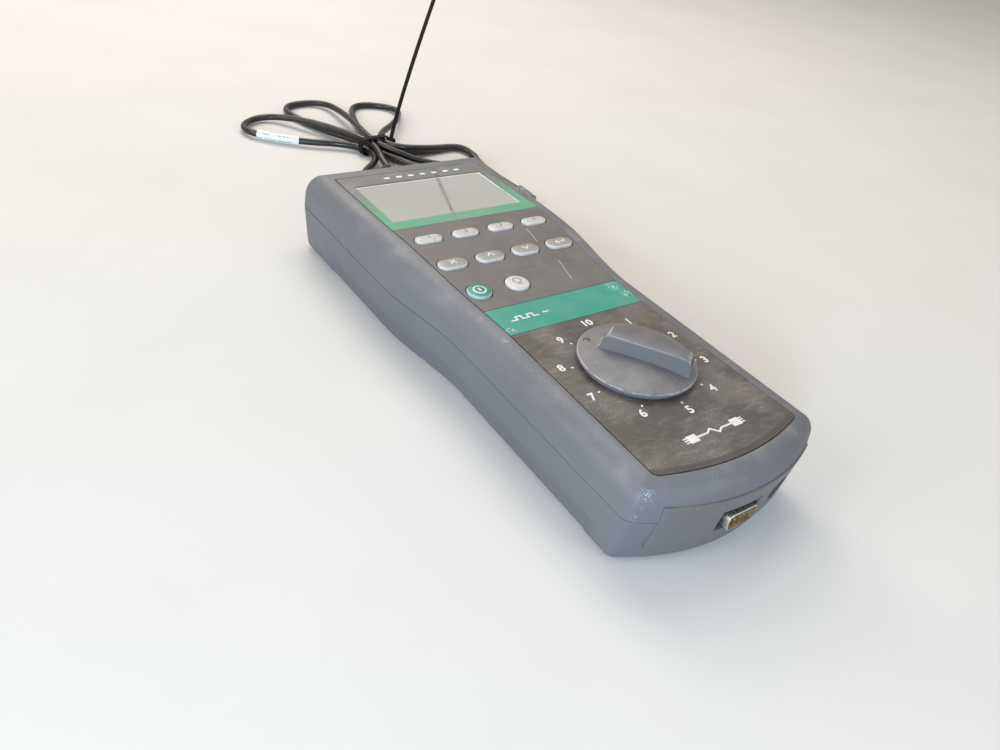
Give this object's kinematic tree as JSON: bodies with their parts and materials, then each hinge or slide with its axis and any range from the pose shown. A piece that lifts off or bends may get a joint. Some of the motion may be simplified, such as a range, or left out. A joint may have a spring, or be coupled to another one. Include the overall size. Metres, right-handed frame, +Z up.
{
  "type": "handheld network cable tester",
  "caption": "Waisted handheld cable tester with a display, moulded keys, a rotary selector dial, end connectors and a plugged-in test lead gathered by a cable tie.",
  "frame": {"origin": "centre of the tester's back, on the surface it lies on, without the lead", "axes": "+Y along the case from the serial connector end to the display end, +Z up out of the face, +X to the right of someone reading the display"},
  "size_m": [0.264, 0.5358, 0.2168],
  "materials": {
    "case_plastic": "fine textured moulded ABS, dusty and scuffed",
    "plate_plastic": "smooth moulded ABS",
    "dial_film": "printed polyester overlay, dark brown-grey",
    "band_film": "printed polyester overlay, teal",
    "key_film": "printed polyester overlay, warm grey",
    "window_plastic": "clear polycarbonate with a printed pale green border",
    "display_glass": "liquid crystal glass over a grey-green reflector",
    "steel": "zinc plated steel",
    "ivory_plastic": "off-white moulded keys",
    "grey_plastic": "grey moulded keys with white marks",
    "teal_plastic": "teal moulded key with a white mark",
    "white_plastic": "white moulded key with a grey mark",
    "knob_plastic": "fine textured moulded knob",
    "mat_rubber": "moulded silicone key mat",
    "circuit_board": "solder-masked glass fibre board",
    "battery_wrap": "heat-shrunk wrap over the cells",
    "connector_metal": "tin plated steel shell",
    "pin_gold": "gold plated pins",
    "black_plastic": "moulded black nylon",
    "cord_jacket": "soft PVC jacket with a brownish sheen",
    "label_film": "white vinyl label wrapped round the cord",
    "clear_plastic": "clear polycarbonate plug"
  },
  "bodies": {
    "case": {"top_shell": "case_plastic", "bottom_shell": "case_plastic", "connector_plate": "plate_plastic", "port_plate": "plate_plastic", "battery_door": "case_plastic", "dial_film": "dial_film", "band_film": "band_film", "key_film": "key_film", "display_window": "window_plastic", "display_frame": "steel", "display_panel": "display_glass", "rotary_switch": "black_plastic", "key_mat": "mat_rubber", "front_board": "circuit_board", "main_board": "circuit_board", "jack_board": "circuit_board", "battery_pack": "battery_wrap", "serial_shell": "connector_metal", "serial_insulator": "black_plastic", "serial_pin_1": "pin_gold", "serial_pin_2": "pin_gold", "serial_pin_3": "pin_gold", "serial_pin_4": "pin_gold", "serial_pin_5": "pin_gold", "serial_pin_6": "pin_gold", "serial_pin_7": "pin_gold", "serial_pin_8": "pin_gold", "serial_pin_9": "pin_gold", "power_jack": "black_plastic", "power_pin": "steel", "network_jack": "black_plastic", "case_screw_1": "steel", "case_screw_2": "steel", "case_screw_3": "steel", "case_screw_4": "steel", "door_screw": "steel", "lead_cord": "cord_jacket", "label_sleeve": "label_film", "near_plug": "clear_plastic", "near_boot": "cord_jacket", "far_plug": "clear_plastic", "far_boot": "cord_jacket", "cable_tie": "black_plastic"},
    "dial": {"dial_knob": "knob_plastic", "dial_shaft": "steel"},
    "soft_key_1": {"soft_key_1": "ivory_plastic"},
    "soft_key_2": {"soft_key_2": "ivory_plastic"},
    "soft_key_3": {"soft_key_3": "ivory_plastic"},
    "soft_key_4": {"soft_key_4": "ivory_plastic"},
    "escape_key": {"escape_key": "grey_plastic"},
    "up_key": {"up_key": "grey_plastic"},
    "down_key": {"down_key": "grey_plastic"},
    "enter_key": {"enter_key": "grey_plastic"},
    "power_key": {"power_key": "teal_plastic"},
    "light_key": {"light_key": "white_plastic"}
  },
  "joints": [
    {"name": "dial_turn", "type": "hinge", "parent": "case", "child": "dial", "pos_m": [0, -0.07625, 0], "axis": [0, 0, 1], "range_deg": [-36, 288]},
    {"name": "soft_key_1_press", "type": "slide", "parent": "case", "child": "soft_key_1", "axis": [0, 0, -1], "range_m": [0, 0.0012], "stiffness_N_per_m": 1000, "springref_m": -0.0008},
    {"name": "soft_key_2_press", "type": "slide", "parent": "case", "child": "soft_key_2", "axis": [0, 0, -1], "range_m": [0, 0.0012], "stiffness_N_per_m": 1000, "springref_m": -0.0008},
    {"name": "soft_key_3_press", "type": "slide", "parent": "case", "child": "soft_key_3", "axis": [0, 0, -1], "range_m": [0, 0.0012], "stiffness_N_per_m": 1000, "springref_m": -0.0008},
    {"name": "soft_key_4_press", "type": "slide", "parent": "case", "child": "soft_key_4", "axis": [0, 0, -1], "range_m": [0, 0.0012], "stiffness_N_per_m": 1000, "springref_m": -0.0008},
    {"name": "escape_key_press", "type": "slide", "parent": "case", "child": "escape_key", "axis": [0, 0, -1], "range_m": [0, 0.0012], "stiffness_N_per_m": 1000, "springref_m": -0.0008},
    {"name": "up_key_press", "type": "slide", "parent": "case", "child": "up_key", "axis": [0, 0, -1], "range_m": [0, 0.0012], "stiffness_N_per_m": 1000, "springref_m": -0.0008},
    {"name": "down_key_press", "type": "slide", "parent": "case", "child": "down_key", "axis": [0, 0, -1], "range_m": [0, 0.0012], "stiffness_N_per_m": 1000, "springref_m": -0.0008},
    {"name": "enter_key_press", "type": "slide", "parent": "case", "child": "enter_key", "axis": [0, 0, -1], "range_m": [0, 0.0012], "stiffness_N_per_m": 1000, "springref_m": -0.0008},
    {"name": "power_key_press", "type": "slide", "parent": "case", "child": "power_key", "axis": [0, 0, -1], "range_m": [0, 0.0012], "stiffness_N_per_m": 1000, "springref_m": -0.0008},
    {"name": "light_key_press", "type": "slide", "parent": "case", "child": "light_key", "axis": [0, 0, -1], "range_m": [0, 0.0012], "stiffness_N_per_m": 1000, "springref_m": -0.0008}
  ]
}
